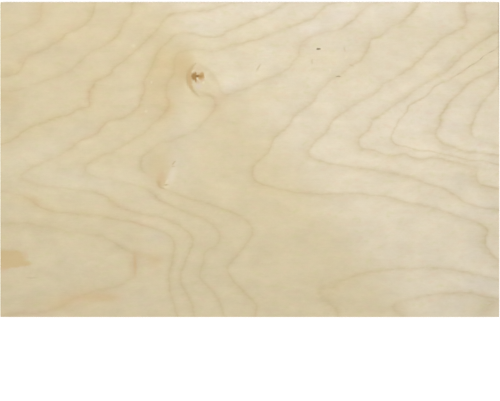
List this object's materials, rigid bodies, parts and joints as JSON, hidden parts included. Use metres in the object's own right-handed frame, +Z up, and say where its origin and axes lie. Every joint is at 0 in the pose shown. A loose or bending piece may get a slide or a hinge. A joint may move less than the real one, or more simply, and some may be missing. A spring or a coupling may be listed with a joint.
{
  "type": "plywood sheet",
  "caption": "Flat rectangular sheet of birch plywood with a sanded face veneer and sawn, layered edges, for cutting, gluing or screwing into panels and boxes.",
  "frame": {"origin": "centre of the underside, which lies on the floor", "axes": "+X along the face grain and the long side, +Y across the face grain, +Z up out of the face veneer"},
  "size_m": [0.4826, 0.3048, 0.006],
  "materials": {
    "birch_plywood": "sanded, unfinished birch veneer"
  },
  "bodies": {
    "root": {"plywood_sheet": "birch_plywood"}
  },
  "joints": []
}
